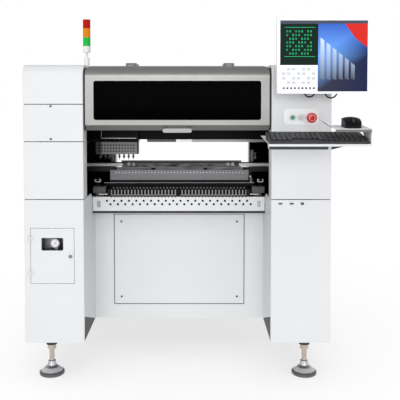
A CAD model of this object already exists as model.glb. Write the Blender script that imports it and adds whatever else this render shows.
import math

import bmesh
import bpy
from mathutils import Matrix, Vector


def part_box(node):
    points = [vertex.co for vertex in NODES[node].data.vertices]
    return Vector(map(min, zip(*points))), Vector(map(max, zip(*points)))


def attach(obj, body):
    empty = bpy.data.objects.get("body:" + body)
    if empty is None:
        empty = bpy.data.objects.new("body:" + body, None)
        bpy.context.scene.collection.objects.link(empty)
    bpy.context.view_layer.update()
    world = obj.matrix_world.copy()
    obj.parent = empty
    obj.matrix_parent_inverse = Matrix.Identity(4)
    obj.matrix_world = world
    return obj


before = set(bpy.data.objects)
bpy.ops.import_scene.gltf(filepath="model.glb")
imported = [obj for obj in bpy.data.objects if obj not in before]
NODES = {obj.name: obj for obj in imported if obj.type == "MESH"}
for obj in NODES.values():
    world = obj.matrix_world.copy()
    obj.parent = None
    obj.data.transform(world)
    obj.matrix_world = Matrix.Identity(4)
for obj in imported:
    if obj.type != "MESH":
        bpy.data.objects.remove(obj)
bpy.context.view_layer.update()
MM = 0.001

# ---- where the machine stands --------------------------------------------

FRONT, REAR = (corner.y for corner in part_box("right_lower_cover"))
low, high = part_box("base_frame")
MIDDLE = Vector(((low.x + high.x) / 2, (low.y + high.y) / 2, 0))


def at(x, y, z):
    """A place given in millimetres from the body's middle on the floor."""
    return MIDDLE + Vector((x, y, z)) * MM


def linked(name, data):
    """A new object in the scene, at the origin."""
    made = bpy.data.objects.new(name, data)
    bpy.context.scene.collection.objects.link(made)
    return made


# ---- camera ---------------------------------------------------------------

EYE_RIGHT = 67.8 * MM                      # right of the body's middle
EYE_AWAY = 2697 * MM                       # before the columns' front faces
EYE_HEIGHT = 1134.7 * MM
EYE_TILT = 87.5                            # degrees up from straight down

camera = linked("camera", bpy.data.cameras.new("camera"))
camera.location = (MIDDLE.x + EYE_RIGHT, FRONT - EYE_AWAY, EYE_HEIGHT)
camera.rotation_euler = (math.radians(EYE_TILT), 0, 0)
camera.data.sensor_width = 36
camera.data.lens = 61.5
camera.data.shift_x = 0.0138
camera.data.shift_y = -0.1795
camera.data.clip_start = 0.05
camera.data.clip_end = 200
bpy.context.scene.camera = camera

# ---- finishes -------------------------------------------------------------

MIX_A, MIX_B, MIX_RESULT = 6, 7, 2         # a Mix node's colour sockets


class Finish:
    """A material's node tree, built up from the shader backwards."""

    def __init__(self, name, colour, rough=0.5, metal=0.0, **sockets):
        self.material = bpy.data.materials.new(name)
        self.material.use_nodes = True
        self.tree = self.material.node_tree
        self.shader = self.tree.nodes["Principled BSDF"]
        self.material.diffuse_color = (*colour, 1)
        self.shader.inputs["Base Color"].default_value = (*colour, 1)
        self.shader.inputs["Roughness"].default_value = rough
        self.shader.inputs["Metallic"].default_value = metal
        for socket, value in sockets.items():
            self.shader.inputs[socket.replace("_", " ")].default_value = value
        self.place = self.tree.nodes.new("ShaderNodeTexCoord").outputs["Object"]

    def node(self, kind, **sockets):
        """A shader node; an underscore in a socket's name stands for a space."""
        made = self.tree.nodes.new("ShaderNode" + kind)
        for name, value in sockets.items():
            self.put(made.inputs[name.replace("_", " ")], value)
        return made

    def put(self, socket, value):
        """Links another node's output to a socket, or sets its constant."""
        if isinstance(value, bpy.types.NodeSocket):
            self.tree.links.new(value, socket)
        else:
            socket.default_value = value

    def maths(self, operation, a, b=0.0, c=0.0):
        """A Math node on numbers or other nodes' outputs."""
        made = self.tree.nodes.new("ShaderNodeMath")
        made.operation = operation
        for socket, value in zip(made.inputs, (a, b, c)):
            self.put(socket, value)
        return made.outputs[0]

    def part(self, axis):
        """One of the place's X, Y and Z."""
        made = self.tree.nodes.new("ShaderNodeSeparateXYZ")
        self.tree.links.new(self.place, made.inputs[0])
        return made.outputs[axis]

    def noise(self, scale, detail=3.0, stretch=(1, 1, 1)):
        """Values of 0 to 1 that vary with the place, finer along stretched axes."""
        mapping = self.node("Mapping", Vector=self.place, Scale=stretch)
        return self.node("TexNoise", Vector=mapping.outputs[0], Scale=scale,
                         Detail=detail).outputs[0]

    def mix(self, amount, a, b):
        """From colour a to colour b, each a tuple or another node's output."""
        made = self.tree.nodes.new("ShaderNodeMix")
        made.data_type = "RGBA"
        self.put(made.inputs["Factor"], amount)
        self.put(made.inputs[MIX_A], (*a, 1) if isinstance(a, tuple) else a)
        self.put(made.inputs[MIX_B], (*b, 1) if isinstance(b, tuple) else b)
        return made.outputs[MIX_RESULT]

    def colour(self, socket):
        """Paints the surface with another node's colour."""
        self.tree.links.new(socket, self.shader.inputs["Base Color"])
        return self

    def zone(self, x=None, y=None, z=None, paired=""):
        """1 inside a box given in millimetres from the body's middle, 0 outside.

        An axis named in `paired` counts on both sides of the middle.
        """
        amount = None
        for axis, span in enumerate((x, y, z)):
            if span is None:
                continue
            value = self.maths("SUBTRACT", self.part(axis), MIDDLE[axis])
            if "xyz"[axis] in paired:
                value = self.maths("ABSOLUTE", value)
            centre, half = (span[0] + span[1]) / 2 * MM, (span[1] - span[0]) / 2 * MM
            near = self.maths("COMPARE", value, centre, half)
            amount = near if amount is None else self.maths("MULTIPLY", amount, near)
        return amount

    def painted(self, colour, metal=None, **box):
        """Another colour inside a zone, and another metalness where one is given."""
        amount = self.zone(**box)
        old = self.shader.inputs["Base Color"].links[0].from_socket
        if metal is not None:
            socket = self.shader.inputs["Metallic"]
            before = socket.links[0].from_socket if socket.links else socket.default_value
            rest = self.maths("MULTIPLY", self.maths("SUBTRACT", 1.0, amount), before)
            self.put(socket, self.maths("MULTIPLY_ADD", amount, metal, rest))
        return self.colour(self.mix(amount, old, colour))

    def roughness(self, socket, low, high):
        """Roughness that follows a value of 0 to 1."""
        self.put(self.shader.inputs["Roughness"],
                 self.maths("MULTIPLY_ADD", socket, high - low, low))
        return self

    def bump(self, height, strength, distance):
        """Fine relief that follows a value of 0 to 1, its depth in metres."""
        made = self.node("Bump", Height=height, Strength=strength, Distance=distance)
        self.tree.links.new(made.outputs[0], self.shader.inputs["Normal"])
        return self


def grey(level):
    return (level,) * 3


def shade(colour, share):
    """The same colour at a share of its lightness."""
    return tuple(channel * share for channel in colour)


def powder_coat(name, colour, rough=0.42, soil=0.94, gloss=0.5, peel=0.12):
    """Sprayed powder paint: a fine orange peel and faint clouding."""
    f = Finish(name, colour, rough, Specular_IOR_Level=gloss)
    cloud = f.noise(3.0, 4.0)
    f.colour(f.mix(cloud, shade(colour, soil), colour))
    f.roughness(f.noise(40.0, 2.0), rough - 0.05, rough + 0.06)
    return f.bump(f.noise(900.0, 2.0), peel, 0.0002)


def brushed(name, colour, rough, grain=(1, 60, 60)):
    """Metal with a grain along one axis."""
    f = Finish(name, colour, rough, 1.0)
    lines = f.noise(30.0, 4.0, grain)
    f.colour(f.mix(lines, shade(colour, 0.8), colour))
    f.roughness(lines, rough - 0.08, rough + 0.1)
    return f.bump(lines, 0.08, 0.0002)


def streaked(name, dark, light):
    """Extruded bar with uneven anodising that runs along it."""
    f = Finish(name, light, 0.4, Specular_IOR_Level=0.3)
    streaks = f.noise(45.0, 5.0, (0.35, 1, 1.6))
    spread = f.node("MapRange", Value=streaks, From_Min=0.35, From_Max=0.65)
    f.colour(f.mix(spread.outputs[0], dark, light))
    f.roughness(streaks, 0.3, 0.5)
    return f.bump(streaks, 0.15, 0.0004)


def moulded(name, colour, rough=0.5, **sockets):
    """Plastic with a spark-eroded grain."""
    f = Finish(name, colour, rough, **sockets)
    f.colour(f.mix(f.noise(6.0, 3.0), shade(colour, 0.9), colour))
    f.roughness(f.noise(60.0, 2.0), rough - 0.05, rough + 0.05)
    return f.bump(f.noise(1500.0, 2.0), 0.1, 0.0002)


# Paint on the covers, panels and frame. The bed is black but for the dark grey
# edge that shows below the feeder plates.
WHITE = (0.63, 0.64, 0.655)
PALE_WHITE = (0.68, 0.69, 0.70)
cover_white = powder_coat("cover_white", WHITE)
plate_white = powder_coat("plate_white", PALE_WHITE)
panel_white = powder_coat("panel_white", PALE_WHITE)
frame_grey = powder_coat("frame_grey", (0.16, 0.165, 0.175), 0.5)
frame_dark = powder_coat("frame_dark", (0.045, 0.047, 0.05), 0.5, gloss=0.2)
bed_black = powder_coat("bed_black", (0.003, 0.003, 0.004), 0.5, gloss=0.0)
bed_black.painted((0.05, 0.05, 0.052), z=(636, 651))
handle_grey = powder_coat("handle_grey", (0.33, 0.33, 0.325), 0.3)
ground_steel = brushed("ground_steel", (0.20, 0.20, 0.21), 0.3, (60, 1, 60))
bracket_grey = powder_coat("bracket_grey", (0.60, 0.61, 0.62), 0.4)
monitor_white = moulded("monitor_white", (0.78, 0.79, 0.80), 0.35)
tower_white = moulded("tower_white", (0.75, 0.75, 0.73), 0.4)
BLACK = (0.005, 0.005, 0.006)
plastic_black = moulded("plastic_black", BLACK, 0.4, Specular_IOR_Level=0.15)
# The front's data sockets are lighter than the rear's inlets
port_black = moulded("port_black", BLACK, 0.4, Specular_IOR_Level=0.15)
port_black.painted((0.26, 0.26, 0.27), y=(-600, -560))
key_black = moulded("key_black", (0.030, 0.030, 0.033), 0.4, Specular_IOR_Level=0.3)
cable_black = moulded("cable_black", grey(0.01), 0.6)
rubber_grey = moulded("rubber_grey", (0.03, 0.03, 0.032), 0.7)
regulator_metal = brushed("regulator_metal", (0.30, 0.31, 0.33), 0.45)
lock_steel = brushed("lock_steel", (0.25, 0.25, 0.26), 0.3)
nozzle_steel = brushed("nozzle_steel", (0.10, 0.10, 0.105), 0.22, (60, 60, 1))
catch_steel = brushed("catch_steel", (0.55, 0.52, 0.52), 0.35)
post_grey = powder_coat("post_grey", (0.55, 0.55, 0.56), 0.4)
label_grey = moulded("label_grey", grey(0.40), 0.5)

# Keyboard tray: the covers' white, with a dark stiffener under its front edge,
# a light latch on that, and the hem of the mouse's shelf in shade
STIFFENER = {"y": (-903, -898), "z": (950, 967.2)}
tray_white = powder_coat("tray_white", WHITE)
tray_white.painted((0.015, 0.015, 0.018), x=(330, 600), **STIFFENER)
tray_white.painted((0.45, 0.46, 0.47), x=(538, 548), **STIFFENER)
tray_white.painted((0.12, 0.12, 0.13), x=(555, 690), y=(-915, -911.4), z=(1015, 1026.5))

# Hoods: satin metallic grey, their lower lips a darker grey
hood_grey = powder_coat("hood_grey", (0.245, 0.245, 0.238), 0.32, peel=0.02)
hood_grey.shader.inputs["Metallic"].default_value = 0.5
hood_grey.painted((0.16, 0.16, 0.15), z=(990, 1029.5))

# Gantry beam: black, its guide rail ground bright in some stretches and oiled
# dull in others
SOOT = (0.004, 0.004, 0.005)
beam_black = powder_coat("beam_black", SOOT, 0.4, gloss=0.08)
RAIL_FACE = {"y": (-106, -95.2), "z": (900, 943.5)}
for start, end, level in ((-440, -200, 0.02), (-200, -154, 0.90), (-154, -18, 0.08),
                          (-18, 55, 0.62), (55, 440, 0.28)):
    beam_black.painted(grey(level), metal=1.0, x=(start, end), **RAIL_FACE)

# Placement head: black frame; a grey cover, its left end dark, its inside black
head_black = powder_coat("head_black", SOOT, 0.4, gloss=0.08)
head_grey = powder_coat("head_grey", (0.30, 0.30, 0.31), 0.5)
head_grey.painted((0.05, 0.05, 0.052), x=(-390, -359))
head_grey.painted(grey(0.01), x=(-383.4, -197), y=(-163.4, -117))

# Feeder beds: black. The comb's teeth are bright on their fronts and tops but
# for one slot in the middle and the two ends; pins and rear ridge are bright too.
feeder_grey = powder_coat("feeder_grey", BLACK, 0.5, gloss=0.1)
COMB = {"y": (348, 363), "z": (700, 742)}
feeder_grey.painted(grey(0.24), y=(361.8, 363), z=(717, 741.5), paired="y")
feeder_grey.painted(grey(0.24), y=(348.6, 363), z=(740.6, 741.5), paired="y")
feeder_grey.painted(BLACK, x=(-11, 7), **COMB, paired="y")
feeder_grey.painted((0.01, 0.01, 0.011), x=(291, 309), **COMB, paired="xy")
feeder_grey.painted(grey(0.35), y=(340, 347), z=(745.5, 751), paired="y")
feeder_grey.painted((0.34, 0.34, 0.33), y=(241, 247), z=(756, 760), paired="y")

# Feeder stops: grey plates with light studs, slate end blocks
stop_grey = powder_coat("stop_grey", (0.25, 0.25, 0.27), 0.5)
stop_grey.painted((0.055, 0.06, 0.065), x=(312, 380), paired="x")
stop_grey.painted(grey(0.80), x=(0, 292), y=(239.6, 241), z=(795, 810), paired="xy")

# Conveyor rails: streaked grey between the outer bars. The moving rail has a
# black top edge, bright outer bars and pale idlers, the fixed one black bars.
fixed_finish = streaked("fixed_finish", (0.16, 0.16, 0.17), (0.36, 0.36, 0.37))
fixed_finish.painted((0.006, 0.006, 0.007), x=(290.5, 600), paired="x")
moving_finish = streaked("moving_finish", (0.08, 0.08, 0.085), (0.50, 0.50, 0.51))
moving_finish.painted((0.012, 0.012, 0.013), z=(811.5, 820))
moving_finish.painted((0.90, 0.90, 0.89), metal=1.0, x=(290, 600), z=(796, 811.5), paired="x")
moving_finish.painted(grey(0.98), metal=0.0, x=(225, 268), y=(94.5, 95.8), z=(797, 816),
                      paired="x")

smoked_window = Finish("smoked_window", grey(0.0004), 0.06, Specular_IOR_Level=0.004)
smoked_window.roughness(smoked_window.noise(5.0), 0.04, 0.1)
screen_glass = Finish("screen_glass", (0.01, 0.012, 0.02), 0.15)
screen_glass.roughness(screen_glass.noise(8.0), 0.12, 0.2)


def lamp(name, colour):
    """Translucent lamp shell with fine upright ribs."""
    f = Finish(name, colour, 0.4, Specular_IOR_Level=0.05)
    f.shader.inputs["Emission Color"].default_value = (*colour, 1)
    f.shader.inputs["Emission Strength"].default_value = 0.12
    ribs = f.maths("SINE", f.maths("MULTIPLY", f.part(0), 2200.0))
    f.colour(f.mix(f.noise(20.0), shade(colour, 0.8), colour))
    return f.bump(ribs, 0.25, 0.0004)


lamp_red = lamp("lamp_red", (0.42, 0.006, 0.004))
lamp_amber = lamp("lamp_amber", (0.68, 0.21, 0.012))
lamp_green = lamp("lamp_green", (0.02, 0.44, 0.06))


def button(name, colour):
    """Glossy moulded cap of a push button."""
    f = Finish(name, colour, 0.25, Coat_Weight=0.15, Specular_IOR_Level=0.3)
    f.colour(f.mix(f.noise(80.0), shade(colour, 0.85), colour))
    return f.bump(f.noise(800.0), 0.04, 0.0001)


button_green = button("button_green", (0.01, 0.30, 0.13))
button_white = button("button_white", (0.55, 0.56, 0.56))
button_red = button("button_red", (0.55, 0.006, 0.010))

# Levelling feet: rubber soles, chromed bells with a dark rim and a darker
# collar, brassy stems, dark nuts on top
foot_chrome = brushed("foot_chrome", (0.80, 0.80, 0.82), 0.28, (1, 1, 40))
foot_chrome.painted((0.08, 0.08, 0.085), metal=0.0, z=(-1, 13))
foot_chrome.painted((0.62, 0.62, 0.64), metal=0.35, z=(13, 30))
foot_chrome.painted((0.14, 0.14, 0.145), metal=0.3, z=(13, 17))
foot_chrome.painted((0.46, 0.46, 0.48), metal=0.85, z=(30, 62))
foot_chrome.painted((0.50, 0.43, 0.37), z=(62, 210))
foot_chrome.painted((0.06, 0.055, 0.05), z=(150, 172))

FINISHES = {
    cover_white: ["left_lower_cover", "left_middle_cover", "left_hatch_cover", "left_top_cover",
                  "right_lower_cover", "right_upper_cover", "access_door"],
    tray_white: ["keyboard_tray"],
    plate_white: ["feeder_plates"],
    panel_white: ["base_panels", "access_panels"],
    frame_grey: ["hinge_beam"],
    bed_black: ["machine_bed"],
    ground_steel: ["y_rails", "width_screw", "drive_shaft"],
    feeder_grey: ["feeder_beds"],
    stop_grey: ["feeder_stops"],
    fixed_finish: ["fixed_rail"],
    moving_finish: ["moving_rail"],
    plastic_black: ["board_camera", "mouse"],
    port_black: ["service_ports"],
    key_black: ["keyboard"],
    frame_dark: ["base_frame"],
    hood_grey: ["front_hood", "rear_hood"],
    smoked_window: ["front_hood_window", "rear_hood_window"],
    handle_grey: ["front_hood_handle", "rear_hood_handle"],
    tower_white: ["tower_stand"],
    screen_glass: ["monitor_screen"],
    lamp_red: ["tower_red"],
    lamp_amber: ["tower_amber"],
    lamp_green: ["tower_green"],
    bracket_grey: ["console_brackets", "monitor_arm"],
    monitor_white: ["monitor_case", "control_plate"],
    cable_black: ["monitor_cables"],
    rubber_grey: ["mouse_wheel"],
    button_green: ["start_button"],
    button_white: ["reset_button"],
    button_red: ["stop_button", "main_switch"],
    lock_steel: ["door_lock"],
    regulator_metal: ["air_regulator"],
    foot_chrome: ["levelling_feet"],
    beam_black: ["x_beam"],
    head_black: ["head_frame"],
    head_grey: ["head_cover"],
    nozzle_steel: [f"nozzle_{n}" for n in range(1, 9)],
}
for finish, names in FINISHES.items():
    for name in names:
        materials = NODES[name].data.materials
        if len(materials) == 0:
            materials.append(finish.material)
        for slot in range(len(materials)):
            materials[slot] = finish.material

# ---- making pieces ----------------------------------------------------------


def piece(name, mesh, body, finish=None):
    """Puts a mesh in the scene on a body, and paints it unless it has its finish."""
    made = linked(name, mesh)
    if finish:
        mesh.materials.append(finish.material)
    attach(made, body)


def mesh_of(name, build):
    """A mesh from a function that fills a bmesh, its faces turned outwards."""
    bm = bmesh.new()
    build(bm)
    bmesh.ops.recalc_face_normals(bm, faces=bm.faces)
    mesh = bpy.data.meshes.new(name)
    bm.to_mesh(mesh)
    bm.free()
    return mesh


BLOCK_FACES = ((0, 1, 3, 2), (4, 6, 7, 5), (0, 4, 5, 1), (2, 3, 7, 6), (0, 2, 6, 4), (1, 5, 7, 3))


def add_block(bm, low, high):
    """A box between two corners."""
    corners = [bm.verts.new((x, y, z)) for x in (low[0], high[0])
               for y in (low[1], high[1]) for z in (low[2], high[2])]
    for face in BLOCK_FACES:
        bm.faces.new([corners[i] for i in face])


def add_walls(bm, start, end):
    """A closed band of faces between two rings of as many points."""
    for i in range(len(start)):
        j = (i + 1) % len(start)
        bm.faces.new((start[i], end[i], end[j], start[j]))


def add_prism(bm, outline, start, end, axis):
    """A closed outline given in the two other axes, between two places on an axis."""
    rings = []
    for place in (start, end):
        ring = []
        for a, b in outline:
            point = [a, b]
            point.insert(axis, place)
            ring.append(bm.verts.new(point))
        rings.append(ring)
    bm.faces.new(rings[0])
    bm.faces.new(rings[1][::-1])
    add_walls(bm, *rings)


# ---- seals beside the hoods ---------------------------------------------------

HOOD_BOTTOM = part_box("front_hood")[0].z
HOOD_TOP = 1264 * MM
HOOD_SIDE = 371.8 * MM                     # a hood's side wall from the middle
SEAL_GAP = 7 * MM                          # from a hood's face back to the strip
SEAL_RISE = 2 * MM                         # from a hood's lower edge up to the strip
SEAL_BEND = 38 * MM                        # outer radius of the strip's upper corner
SEAL_WIDTH = 26 * MM
SEAL_THICK = 6 * MM
SEAL_END = 66 * MM                         # from the middle to where the strip ends
SEAL_STEPS = 8


def seal_outline(sign):
    """A strip that follows a hood's side up and over the top, in Y and Z."""
    face = FRONT + SEAL_GAP if sign < 0 else REAR - SEAL_GAP
    bottom = HOOD_BOTTOM + SEAL_RISE
    top = HOOD_TOP - SEAL_GAP
    end = MIDDLE.y + sign * SEAL_END
    outer = [(face, bottom)]
    inner = [(face - sign * SEAL_WIDTH, bottom)]
    for i in range(SEAL_STEPS + 1):
        a = math.radians(90 * i / SEAL_STEPS)
        for edge, r in ((outer, SEAL_BEND), (inner, SEAL_BEND - SEAL_WIDTH)):
            edge.append((face - sign * (SEAL_BEND - r * math.cos(a)),
                         top - SEAL_BEND + r * math.sin(a)))
    outer.append((end, top))
    inner.append((end, top - SEAL_WIDTH))
    return outer + inner[::-1]


def build_seals(bm):
    for side in (-1, 1):
        wall = MIDDLE.x + side * HOOD_SIDE
        for sign in (-1, 1):
            add_prism(bm, seal_outline(sign), wall, wall - side * SEAL_THICK, 0)


piece("hood_seals", mesh_of("hood_seals", build_seals), "base", rubber_grey)

# ---- screws -------------------------------------------------------------------


HEAD_SIDES = 12
SOCKET_WIDTH = 0.55                        # share of the head's radius
SOCKET_DEPTH = 0.6                         # share of the head's height


def screw_tree():
    """Button heads with a socket, set on a mesh's points."""
    tree = bpy.data.node_groups.new("screw_heads", "GeometryNodeTree")
    for name, kind in (("Geometry", "Geometry"), ("Radius", "Float"), ("Height", "Float"),
                       ("Turn", "Vector"), ("Finish", "Material")):
        tree.interface.new_socket(name, in_out="INPUT", socket_type="NodeSocket" + kind)
    tree.interface.new_socket("Geometry", in_out="OUTPUT", socket_type="NodeSocketGeometry")
    nodes, link = tree.nodes, tree.links.new
    given = nodes.new("NodeGroupInput")
    # a round head
    head = nodes.new("GeometryNodeMeshCylinder")
    head.inputs["Vertices"].default_value = HEAD_SIDES
    link(given.outputs["Radius"], head.inputs["Radius"])
    link(given.outputs["Height"], head.inputs["Depth"])
    # its top split into a rim and a smaller face, which sinks in as the socket
    rim = nodes.new("GeometryNodeExtrudeMesh")
    rim.inputs["Offset Scale"].default_value = 0.0
    link(head.outputs["Mesh"], rim.inputs["Mesh"])
    link(head.outputs["Top"], rim.inputs["Selection"])
    shrink = nodes.new("GeometryNodeScaleElements")
    shrink.inputs["Scale"].default_value = SOCKET_WIDTH
    link(rim.outputs["Mesh"], shrink.inputs["Geometry"])
    link(rim.outputs["Top"], shrink.inputs["Selection"])
    socket = nodes.new("GeometryNodeExtrudeMesh")
    depth = nodes.new("ShaderNodeMath")
    depth.operation = "MULTIPLY"
    depth.inputs[1].default_value = -SOCKET_DEPTH
    link(given.outputs["Height"], depth.inputs[0])
    link(depth.outputs[0], socket.inputs["Offset Scale"])
    link(shrink.outputs["Geometry"], socket.inputs["Mesh"])
    link(rim.outputs["Top"], socket.inputs["Selection"])
    # one on each point, turned to face its side
    spread = nodes.new("GeometryNodeInstanceOnPoints")
    turn = nodes.new("FunctionNodeEulerToRotation")
    link(given.outputs["Turn"], turn.inputs[0])
    link(given.outputs["Geometry"], spread.inputs["Points"])
    link(socket.outputs["Mesh"], spread.inputs["Instance"])
    link(turn.outputs[0], spread.inputs["Rotation"])
    real = nodes.new("GeometryNodeRealizeInstances")
    link(spread.outputs[0], real.inputs[0])
    paint = nodes.new("GeometryNodeSetMaterial")
    link(real.outputs[0], paint.inputs["Geometry"])
    link(given.outputs["Finish"], paint.inputs["Material"])
    result = nodes.new("NodeGroupOutput")
    link(paint.outputs[0], result.inputs[0])
    return tree


SCREWS = screw_tree()
FACING = {"front": 90, "rear": -90, "up": 0}       # turn about X in degrees


def grown(tree, points, inputs):
    """The plain mesh that a tree makes on some points."""
    mesh = bpy.data.meshes.new("points")
    mesh.from_pydata([tuple(p) for p in points], [], [])
    carrier = linked("points", mesh)
    modifier = carrier.modifiers.new("grow", "NODES")
    modifier.node_group = tree
    for socket in tree.interface.items_tree:
        if socket.in_out == "INPUT" and socket.name in inputs:
            modifier[socket.identifier] = inputs[socket.name]
    depsgraph = bpy.context.evaluated_depsgraph_get()
    made = bpy.data.meshes.new_from_object(carrier.evaluated_get(depsgraph))
    bpy.data.objects.remove(carrier)
    bpy.data.meshes.remove(mesh)
    return made


def joined(name, meshes):
    """One mesh of several that share a finish."""
    bm = bmesh.new()
    for mesh in meshes:
        bm.from_mesh(mesh)
    for mesh in meshes[1:]:
        bpy.data.meshes.remove(mesh)
    bm.to_mesh(meshes[0])
    bm.free()
    meshes[0].name = name
    return meshes[0]


def screws(name, finish, groups):
    """groups: (facing, radius, height, places in millimetres from the middle)."""
    meshes = [grown(SCREWS, [at(*place) for place in places],
                    {"Radius": radius * MM, "Height": height * MM,
                     "Turn": (math.radians(FACING[facing]), 0, 0), "Finish": finish.material})
              for facing, radius, height, places in groups]
    piece(name, joined(name, meshes), "base")


screw_dark = brushed("screw_dark", (0.08, 0.08, 0.085), 0.35)
screw_bright = brushed("screw_bright", (0.5, 0.5, 0.51), 0.3)
front_mm = (FRONT - MIDDLE.y) / MM
rear_mm = (REAR - MIDDLE.y) / MM
panel_front, panel_rear = ((corner.y - MIDDLE.y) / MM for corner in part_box("access_panels"))
PROUD = 0.8                                # from a sheet's face to a head's middle
access_places = [(x, z) for x in (-256, 256) for z in (254, 590)]
screws("panel_screws", screw_dark, [
    ("front", 4.5, 2, [(x, panel_front - PROUD, z) for x, z in access_places]),
    ("rear", 4.5, 2, [(x, panel_rear + PROUD, z) for x, z in access_places]),
    ("front", 4.5, 2, [(-500, front_mm - PROUD, z) for z in (1104, 974)]),
    ("rear", 5, 2, [(side * x, rear_mm + PROUD, z) for side in (-1, 1) for x in (390, 592)
                    for z in (175, 715, 752)]),
])
# On the console's bracket, the control plate and the light tower's flange
screws("fitting_screws", screw_bright, [
    ("front", 3.5, 2, [(x, front_mm - 6.8, z) for x in (511, 596) for z in (1152, 1238)]),
    ("front", 2.2, 1.4, [(x, front_mm - 5.5, z) for x in (427, 552) for z in (1037, 1088)]),
    ("up", 3, 2, [(-434 + 18 * math.cos(a), -95 + 18 * math.sin(a), 1274.8)
                  for a in (0.5, 2.6, 4.7)]),
])

# Light studs on the feeder stops, one over each slot
SLOTS, PITCH = 40, 14.5
slot_places = [(i - (SLOTS - 1) / 2) * PITCH for i in range(SLOTS)]
stud_pale = moulded("stud_pale", (0.75, 0.75, 0.76), 0.4)
screws("stop_studs", stud_pale, [
    ("front", 2.7, 1, [(x, -240.3, 802) for x in slot_places]),
    ("rear", 2.7, 1, [(x, 240.3, 802) for x in slot_places]),
])

# ---- small fittings -------------------------------------------------------------


def mirrored(blocks, axes="x"):
    """The blocks and their mirror images, each block given as its span on X, Y and Z."""
    for axis in axes:
        i = "xyz".index(axis)
        blocks = blocks + [tuple((-span[1], -span[0]) if j == i else span
                                 for j, span in enumerate(block)) for block in blocks]
    return blocks


def fittings(name, body, finish, blocks, bevel=0.4):
    """Small chamfered blocks, given in millimetres from the body's middle."""
    def build(bm):
        for spans in blocks:
            add_block(bm, at(*(span[0] for span in spans)), at(*(span[1] for span in spans)))
        if bevel:
            bmesh.ops.bevel(bm, geom=bm.edges[:], offset=bevel * MM, segments=1, affect="EDGES")

    piece(name, mesh_of(name, build), body, finish)


# Light trim round the placement head's shroud
fittings("head_trim", "head", catch_steel, [
    ((-358, -199), (-166.4, -164.8), (951, 953.4)),
    ((-359.6, -358), (-166.2, -164.8), (951, 999)),
], 0.2)
# Board sensors on the fixed rail
fittings("board_sensors", "base", plastic_black, [
    ((x - 9, x + 9), (-152, -143.5), (803, 814.5)) for x in (-122, 118)] + [
    ((x - 2.5, x + 2.5), (-149.5, -146.5), (796, 803.4)) for x in (-122, 118)])
# Catches on the feeder banks' end blocks
fittings("bank_catches", "base", catch_steel, mirrored([
    ((343, 370), (-311, -306), (768, 771.6)),
    ((343, 346.6), (-311, -306), (771.2, 781)),
    ((366.4, 370), (-311, -306), (771.2, 781)),
    ((346.2, 351), (-311, -306), (777.6, 781)),
    ((362, 366.8), (-311, -306), (777.6, 781)),
], "xy"))
fittings("catch_stems", "base", plastic_black, mirrored([
    ((353, 360), (-311.5, -305.5), (751.5, 768.4)),
    ((350, 363), (-313, -305.2), (751.5, 754.5)),
], "xy"))
# Tabs that join the beds to the end blocks' feet
fittings("bank_tabs", "base", catch_steel, mirrored([
    ((306, 345), (-362, -338), (720, 723.6)),
    ((306, 309.5), (-362, -338), (723.4, 727)),
], "xy"), 0.3)
# Plates behind the end slots of the front feeder plate: grey and ribbed at the
# left, black at the right
fittings("slot_backings", "base", label_grey, [
    ((-356, -333), (-362.6, -360.6), (660, 706))] + [
    ((-351.5, -337.5), (-364, -362.4), (z, z + 3.2)) for z in range(667, 698, 5)], 0.2)
fittings("slot_shades", "base", plastic_black, [
    ((333, 356), (-362.6, -360.6), (660, 706)),
    ((333, 356), (-361, -358), (680, 686))], 0.2)
# Cable posts on the recesses' rear walls
fittings("rear_posts", "base", post_grey, mirrored([
    ((380, 395), (497, 505.2), (785, 849)),
    ((383, 392), (493, 497.4), (792, 842)),
    ((400, 410), (496, 505.2), (798, 812)),
    ((403, 408), (492, 505.2), (812, 828)),
    ((399, 411), (498, 505.2), (828, 834)),
    ((405, 411), (500, 505.2), (925, 946)),
]), 0.6)
# Shadow gaps round the access panels
GAP_DEPTH = (-283.7, -282.8)
fittings("panel_gaps", "base", rubber_grey, mirrored([
    ((-289.4, -286), GAP_DEPTH, (219.4, 624)),
    ((286, 289.4), GAP_DEPTH, (219.4, 624)),
    ((-286, 286), GAP_DEPTH, (219.4, 223)),
    ((-286, 286), GAP_DEPTH, (621, 622.6)),
], "y"), 0)
# The seam of the right column's inner trim
fittings("column_seam", "base", post_grey, [
    ((380.8, 382.2), (-595.5, -594.8), (1154, 1262)),
    ((372.4, 382.2), (-595.5, -594.8), (1152.6, 1154))], 0)


# ---- round fittings -------------------------------------------------------------


def circle(x, z, r, sides):
    """Points of a circle that faces the front, in X and Z."""
    turns = [2 * math.pi * i / sides for i in range(sides)]
    return [(x + r * math.cos(turn), z + r * math.sin(turn)) for turn in turns]


def ring(bm, x, z, inner, outer, start, end, sides=40):
    """A flat ring that faces the front, in millimetres from the middle."""
    rings = [[bm.verts.new(at(px, y, pz)) for px, pz in circle(x, z, r, sides)]
             for r, y in ((inner, start), (outer, start), (outer, end), (inner, end))]
    for a, b in zip(rings, rings[1:] + rings[:1]):
        add_walls(bm, a, b)


BUTTONS_X, STOP_X, BUTTONS_Z = (455, 488), 528, 1059
HOLES_X, HOLES_Z = -290, 906.5             # the middle hole of the head cover
HOLE_STEP_X, HOLE_STEP_Z = 13.2, 14


def build_bezels(bm):
    for x in BUTTONS_X:
        ring(bm, x, BUTTONS_Z, 10.5, 12.6, -599.8, -602)


def build_bushings(bm):
    """Dark linings round the head cover's 3 rows of 13 holes."""
    for column in range(-6, 7):
        for row in (-1, 0, 1):
            ring(bm, HOLES_X + HOLE_STEP_X * column, HOLES_Z + HOLE_STEP_Z * row,
                 2.5, 3.5, -164.9, -165.3, 16)


def build_stop_mark(bm):
    ring(bm, STOP_X, BUTTONS_Z, 10.5, 13, -621.8, -622.4)


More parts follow.
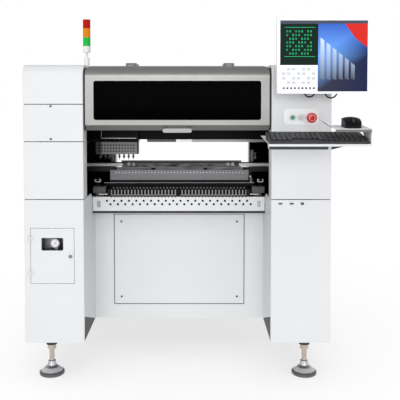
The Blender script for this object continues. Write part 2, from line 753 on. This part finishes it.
stop_pale = moulded("stop_pale", (0.72, 0.30, 0.28), 0.4)
piece("cover_bushings", mesh_of("cover_bushings", build_bushings), "head",
      plastic_black)
piece("button_bezels", mesh_of("button_bezels", build_bezels), "base",
      bracket_grey)
piece("stop_mark", mesh_of("stop_mark", build_stop_mark), "stop_button", stop_pale)

# ---- the screen's picture -----------------------------------------------------

INK = (0.003, 0.012, 0.008)
PAPER = (0.80, 0.81, 0.82)
KEYS = ((0.62, 0.63, 0.65), (0.46, 0.48, 0.51))
TRACE = (0.02, 0.5, 0.2)
NIGHT, SKY_BLUE, HORIZON = (0.01, 0.015, 0.05), (0.03, 0.09, 0.40), (0.12, 0.30, 0.72)
SPLIT = 0.43                               # share of the screen left of the wallpaper
TOP_BAR = 0.955
BACK_GAP, LAYER_GAP = 0.2 * MM, 0.1 * MM   # before the glass, and between the layers
screen_low, screen_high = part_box("monitor_screen")


def painted_screen():
    """Tiles that glow in the colour of their own corners."""
    f = Finish("screen_picture", grey(0.5), 0.3, Specular_IOR_Level=0.05)
    tint = f.tree.nodes.new("ShaderNodeAttribute")
    tint.attribute_name = "tint"
    f.put(f.shader.inputs["Base Color"], tint.outputs["Color"])
    f.put(f.shader.inputs["Emission Color"], tint.outputs["Color"])
    f.shader.inputs["Emission Strength"].default_value = 0.3
    return f


def tile_list():
    """(left, bottom, width, height, colour, layer) in shares of the screen."""
    tiles = [(0, 0, 1, 1, (0.02, 0.03, 0.06), 0),
             (0, TOP_BAR, 1, 1 - TOP_BAR, (0.05, 0.06, 0.08), 1),
             (0, 0.38, SPLIT, 0.57, INK, 1)]
    # a circuit board's pads, between two lines
    for i in range(9):
        for j in range(7):
            if (i * 5 + j * 3) % 4:
                tiles.append((0.07 + i * 0.034, 0.52 + j * 0.052, 0.019, 0.028,
                              (0.01, 0.20 + 0.04 * (i % 3), 0.09), 2))
    for z in (0.49, 0.90):
        tiles.append((0.05, z, 0.35, 0.005, TRACE, 2))
    # a panel of keys below it, and a row of small dark ones
    tiles.append((0, 0, SPLIT, 0.37, PAPER, 1))
    for i in range(7):
        for j in range(4):
            tiles.append((0.02 + i * 0.057, 0.10 + j * 0.064, 0.045, 0.045,
                          KEYS[(i + 2 * j) % 3 > 0], 2))
    for i in range(9):
        tiles.append((0.03 + i * 0.043, 0.03, 0.025, 0.03, (0.1, 0.1, 0.12), 2))
    return tiles


def picture_mesh(name):
    """The tiles, and a wallpaper at their right, a hair in front of the glass."""
    bm = bmesh.new()
    tint = bm.loops.layers.float_color.new("tint")
    width, height = screen_high.x - screen_low.x, screen_high.z - screen_low.z

    def quad(points, colours, layer):
        y = screen_low.y - (BACK_GAP + LAYER_GAP * layer)
        face = bm.faces.new([bm.verts.new((screen_low.x + u * width, y,
                                           screen_low.z + v * height)) for u, v in points])
        for loop, colour in zip(face.loops, colours):
            loop[tint] = (*colour, 1)

    for left, bottom, w, h, colour, layer in tile_list():
        quad([(left, bottom), (left + w, bottom), (left + w, bottom + h), (left, bottom + h)],
             [colour] * 4, layer)
    # an evening sky with a row of falling columns and a red corner
    left, middle = SPLIT + 0.005, 0.5
    quad([(left, middle), (1, middle), (1, TOP_BAR), (left, TOP_BAR)],
         [HORIZON, NIGHT, SKY_BLUE, SKY_BLUE], 1)
    quad([(left, 0), (1, 0), (1, middle), (left, middle)],
         [(0.03, 0.03, 0.05), NIGHT, NIGHT, HORIZON], 1)
    for i in range(6):
        u, fall = 0.46 + i * 0.07, i * 0.07
        colour = (0.45 - i * 0.05, 0.55 - i * 0.06, 0.75 - i * 0.08)
        quad([(u, 0.18), (u + 0.045, 0.16), (u + 0.045, 0.72 - fall), (u, 0.76 - fall)],
             [shade(colour, 0.25)] * 2 + [colour] * 2, 2)
    quad([(0.74, TOP_BAR), (1, TOP_BAR), (1, 0.62), (0.86, 0.75)], [(0.48, 0.02, 0.015)] * 4, 2)
    mesh = bpy.data.meshes.new(name)
    bm.to_mesh(mesh)
    bm.free()
    return mesh


piece("screen_picture", picture_mesh("screen_picture"), "monitor",
      painted_screen())

# ---- gauge --------------------------------------------------------------------

gauge = at(-492, front_mm + 22, 554)
DIAL_RADIUS, DIAL_THICK = 15.5, 0.8
MARK_START, MARK_LENGTH, MARK_HALF = 12.5, 2, 0.5
MARKS, FIRST_MARK, MARK_STEP = 11, 225, 27
NEEDLE_TAIL, NEEDLE_TIP, NEEDLE_TURN = -4, 11, 60


def on_dial(turn, along, across):
    """A point in X and Z, in millimetres along and across a direction in degrees."""
    c, s = math.cos(math.radians(turn)), math.sin(math.radians(turn))
    return (gauge.x + (along * c - across * s) * MM, gauge.z + (along * s + across * c) * MM)


def build_dial(bm):
    add_prism(bm, circle(gauge.x, gauge.z, DIAL_RADIUS * MM, 32), gauge.y,
              gauge.y - DIAL_THICK * MM, 1)


def build_needle(bm):
    """The dial's marks and its needle."""
    end = MARK_START + MARK_LENGTH
    for i in range(MARKS):
        turn = FIRST_MARK - MARK_STEP * i
        mark = [on_dial(turn, MARK_START, MARK_HALF), on_dial(turn, MARK_START, -MARK_HALF),
                on_dial(turn, end, -MARK_HALF), on_dial(turn, end, MARK_HALF)]
        add_prism(bm, mark, gauge.y - 0.8 * MM, gauge.y - 1.2 * MM, 1)
    needle = [on_dial(NEEDLE_TURN, NEEDLE_TAIL, 1), on_dial(NEEDLE_TURN, NEEDLE_TAIL, -1),
              on_dial(NEEDLE_TURN, NEEDLE_TIP, 0)]
    add_prism(bm, needle, gauge.y - 1 * MM, gauge.y - 1.6 * MM, 1)


dial_white = moulded("dial_white", grey(0.8), 0.4)
piece("gauge_dial", mesh_of("gauge_dial", build_dial), "base", dial_white)
piece("gauge_needle", mesh_of("gauge_needle", build_needle), "base",
      plastic_black)

# ---- studio -------------------------------------------------------------------

FLOOR_HALF, FLOOR_LOW, FLOOR_TOP = 60, -0.02, -0.0005      # metres
SKY_LOW, SKY_HIGH = 0.90, 0.10             # light from the horizon and from above
MIX_LIT, MIX_SEEN = 2, 3                   # a Mix node's plain number sockets

floor = linked("floor", mesh_of("floor", lambda bm: add_block(
    bm, (-FLOOR_HALF, -FLOOR_HALF, FLOOR_LOW), (FLOOR_HALF, FLOOR_HALF, FLOOR_TOP))))
floor_paint = Finish("floor_paint", grey(0.30), 0.9)
floor_paint.shader.inputs["Emission Color"].default_value = (1, 1, 1, 1)
floor_paint.shader.inputs["Emission Strength"].default_value = 0.70
floor.data.materials.append(floor_paint.material)


def studio_sky():
    """White behind the object; for its light, bright low down and dim above."""
    world = bpy.data.worlds.new("studio")
    bpy.context.scene.world = world
    world.use_nodes = True
    nodes, link = world.node_tree.nodes, world.node_tree.links.new
    place = nodes.new("ShaderNodeTexCoord")
    parts = nodes.new("ShaderNodeSeparateXYZ")
    link(place.outputs["Generated"], parts.inputs[0])
    height = nodes.new("ShaderNodeMapRange")
    height.inputs["To Min"].default_value = SKY_LOW
    height.inputs["To Max"].default_value = SKY_HIGH
    link(parts.outputs["Z"], height.inputs["Value"])
    seen = nodes.new("ShaderNodeLightPath")
    backdrop = nodes.new("ShaderNodeMix")
    backdrop.inputs[MIX_SEEN].default_value = 1.0
    link(seen.outputs["Is Camera Ray"], backdrop.inputs["Factor"])
    link(height.outputs[0], backdrop.inputs[MIX_LIT])
    link(backdrop.outputs[0], nodes["Background"].inputs["Color"])


def sun(name, towards, strength, spread, shines=True):
    """A distant soft light, its spread in degrees, that may keep out of reflections."""
    light = linked(name, bpy.data.lights.new(name, "SUN"))
    light.data.energy = strength
    light.data.angle = math.radians(spread)
    light.rotation_euler = Vector(towards).to_track_quat("-Z", "Y").to_euler()
    light.visible_glossy = shines


studio_sky()
sun("top_light", (0.1, 0.15, -1), 1.7, 90, False)
sun("front_light", (0.05, 1, -0.15), 0.95, 26)
sun("left_light", (1.1, 1, -0.2), 0.45, 30)
sun("right_light", (-1.1, 1, -0.2), 0.45, 30)
bpy.context.scene.view_settings.view_transform = "Standard"
